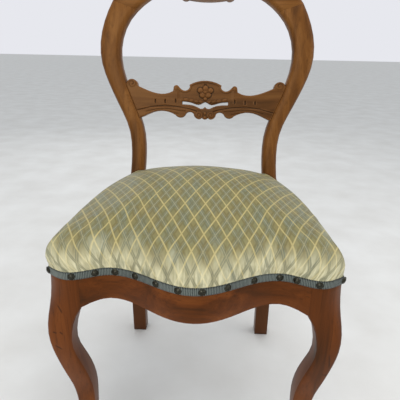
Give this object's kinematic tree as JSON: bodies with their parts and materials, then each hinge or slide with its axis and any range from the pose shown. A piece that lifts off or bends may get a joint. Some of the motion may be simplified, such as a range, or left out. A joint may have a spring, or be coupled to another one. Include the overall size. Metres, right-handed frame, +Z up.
{
  "type": "balloon back chair",
  "caption": "Victorian-style side chair with a balloon-shaped open back, carved and pierced cross rail, cabriole front legs and a domed sprung seat.",
  "frame": {"origin": "on the floor, under the middle of the chair's outer box", "axes": "+Z up, +Y from the seat's front to its back, +X to the right as seen from the front"},
  "size_m": [0.4624, 0.5285, 0.8975],
  "materials": {
    "show_wood": "satin walnut",
    "frame_wood": "raw hardwood",
    "screw_steel": "dull steel",
    "spring_steel": "dark steel wire",
    "twine": "jute",
    "webbing": "woven jute",
    "burlap": "coarse weave",
    "stuffing": "cotton and hair padding",
    "tapestry": "sage and gold tapestry",
    "gimp": "ribbed braid",
    "nail_bronze": "dark bronze",
    "dust_cloth": "plain cambric"
  },
  "bodies": {
    "root": {"rear_leg_stile_left": "show_wood", "rear_leg_stile_right": "show_wood", "crest_rail": "show_wood", "cross_rail": "show_wood", "front_leg_left": "show_wood", "front_leg_right": "show_wood", "front_seat_rail": "show_wood", "side_seat_rail_left": "show_wood", "side_seat_rail_right": "show_wood", "rear_seat_rail": "show_wood", "crest_dowels": "frame_wood", "corner_block_front_left": "frame_wood", "corner_block_front_right": "frame_wood", "corner_block_rear_left": "frame_wood", "corner_block_rear_right": "frame_wood", "corner_block_screws": "screw_steel", "seat_spring_front_left": "spring_steel", "seat_spring_front_right": "spring_steel", "seat_spring_centre": "spring_steel", "seat_spring_rear_left": "spring_steel", "seat_spring_rear_right": "spring_steel", "spring_twine": "twine", "webbing_lengthwise": "webbing", "webbing_crosswise": "webbing", "burlap_cover": "burlap", "seat_stuffing": "stuffing", "seat_cover": "tapestry", "gimp_trim": "gimp", "trim_nails": "nail_bronze", "dust_cover": "dust_cloth"}
  },
  "joints": []
}
